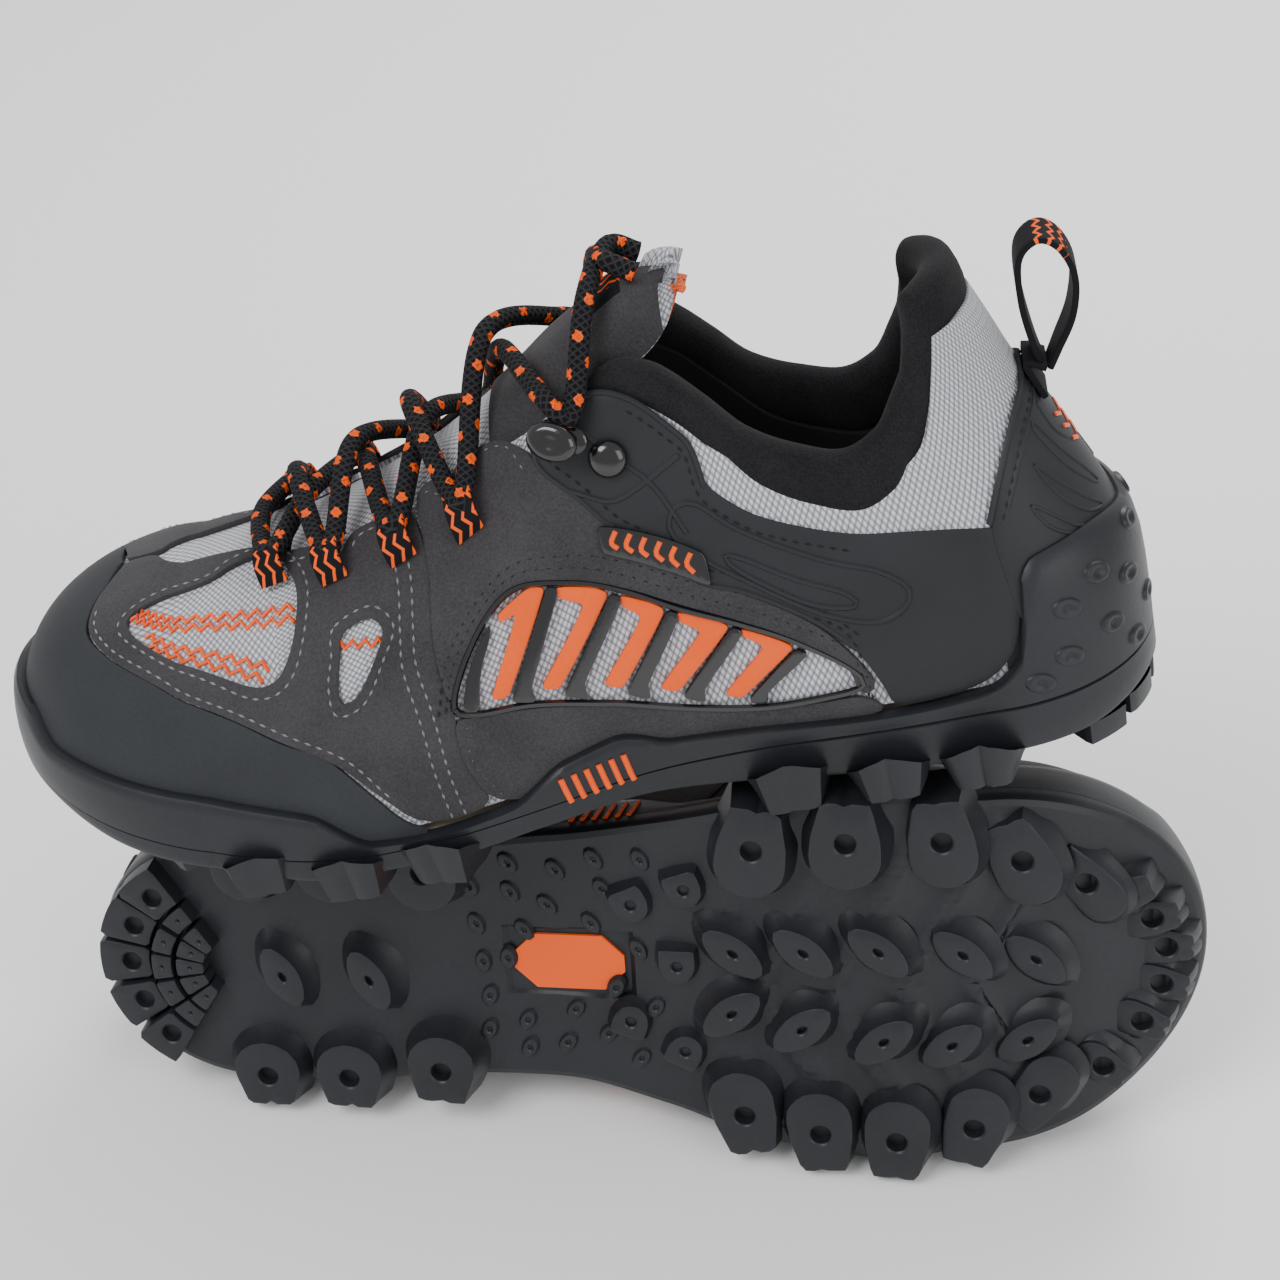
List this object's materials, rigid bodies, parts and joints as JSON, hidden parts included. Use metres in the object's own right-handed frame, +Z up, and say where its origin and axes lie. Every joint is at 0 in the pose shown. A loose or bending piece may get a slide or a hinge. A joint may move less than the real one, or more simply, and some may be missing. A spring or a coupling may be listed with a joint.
{
  "type": "hiking shoes",
  "caption": "Pair of low-cut lace-up hiking shoes with mesh and suede uppers, lugged rubber outsoles, lace hooks and heel pull loops; one stands across the other.",
  "frame": {"origin": "centre of the pair's footprint, on the floor that the right shoe lies on", "axes": "+Z up; +X along the lying right shoe from its heel to its toe; both soles' treads face -Y (right) and down (left)"},
  "size_m": [0.3296, 0.1678, 0.2544],
  "materials": {
    "sole_rubber": "matte moulded rubber",
    "orange_rubber": "moulded rubber",
    "foam": "closed-cell foam",
    "steel": "plain",
    "board": "pressed fibre board",
    "insole_cloth": "brushed knit over foam",
    "silver_mesh": "coarse two-tone mesh",
    "black_lining": "air mesh lining",
    "black_knit": "napped knit",
    "stiffener": "thermoplastic sheet",
    "moulded_black": "moulded synthetic, fine satin",
    "toe_suede": "nubuck",
    "suede": "suede with short nap",
    "rib_plastic": "glossy moulded ribs",
    "orange_lining": "knit lining",
    "label": "soft moulded label",
    "webbing": "woven webbing with orange zigzag",
    "hook_plastic": "glossy",
    "lace_cord": "round braided cord with orange flecks"
  },
  "bodies": {
    "right_shoe": {"right_ankle_panel": "moulded_black", "right_collar_mesh": "silver_mesh", "right_collar_roll": "black_knit", "right_eyestay": "suede", "right_flag_label": "label", "right_heel_cover": "moulded_black", "right_heel_stiffener": "stiffener", "right_insole": "insole_cloth", "right_insole_board": "board", "right_lace": "lace_cord", "right_lace_hooks": "hook_plastic", "right_lace_loops": "webbing", "right_lining": "black_lining", "right_lower_foxing": "suede", "right_mesh_upper": "silver_mesh", "right_midsole": "foam", "right_outsole": "sole_rubber", "right_quarter_panel": "suede", "right_rivets": "hook_plastic", "right_shank": "steel", "right_side_window": "silver_mesh", "right_sole_badge": "orange_rubber", "right_toe_cap": "toe_suede", "right_toe_puff": "stiffener", "right_tongue": "suede", "right_tongue_label": "label", "right_tongue_lining": "orange_lining", "right_vamp_overlay": "suede", "right_window_ribs": "rib_plastic"},
    "right_loop": {"right_pull_loop": "webbing"},
    "left_shoe": {"left_ankle_panel": "moulded_black", "left_collar_mesh": "silver_mesh", "left_collar_roll": "black_knit", "left_eyestay": "suede", "left_flag_label": "label", "left_heel_cover": "moulded_black", "left_heel_stiffener": "stiffener", "left_insole": "insole_cloth", "left_insole_board": "board", "left_lace": "lace_cord", "left_lace_hooks": "hook_plastic", "left_lace_loops": "webbing", "left_lining": "black_lining", "left_lower_foxing": "suede", "left_mesh_upper": "silver_mesh", "left_midsole": "foam", "left_outsole": "sole_rubber", "left_quarter_panel": "suede", "left_rivets": "hook_plastic", "left_shank": "steel", "left_side_window": "silver_mesh", "left_sole_badge": "orange_rubber", "left_toe_cap": "toe_suede", "left_toe_puff": "stiffener", "left_tongue": "suede", "left_tongue_label": "label", "left_tongue_lining": "orange_lining", "left_vamp_overlay": "suede", "left_window_ribs": "rib_plastic"},
    "left_loop": {"left_pull_loop": "webbing"}
  },
  "joints": [
    {"name": "left_lift", "type": "slide", "parent": "right_shoe", "child": "left_shoe", "axis": [0, 0, 1], "range_m": [0, 0.15]},
    {"name": "right_loop_fold", "type": "hinge", "parent": "right_shoe", "child": "right_loop", "pos_m": [-0.12171, 0.02834, 0.02547], "axis": [-0.0747, 0.1951, 0.9779], "range_deg": [-5, 95]},
    {"name": "left_loop_fold", "type": "hinge", "parent": "left_shoe", "child": "left_loop", "pos_m": [0.10626, 0.00069, 0.21916], "axis": [0.0877, -0.9925, 0.0856], "range_deg": [-95, 5]}
  ]
}
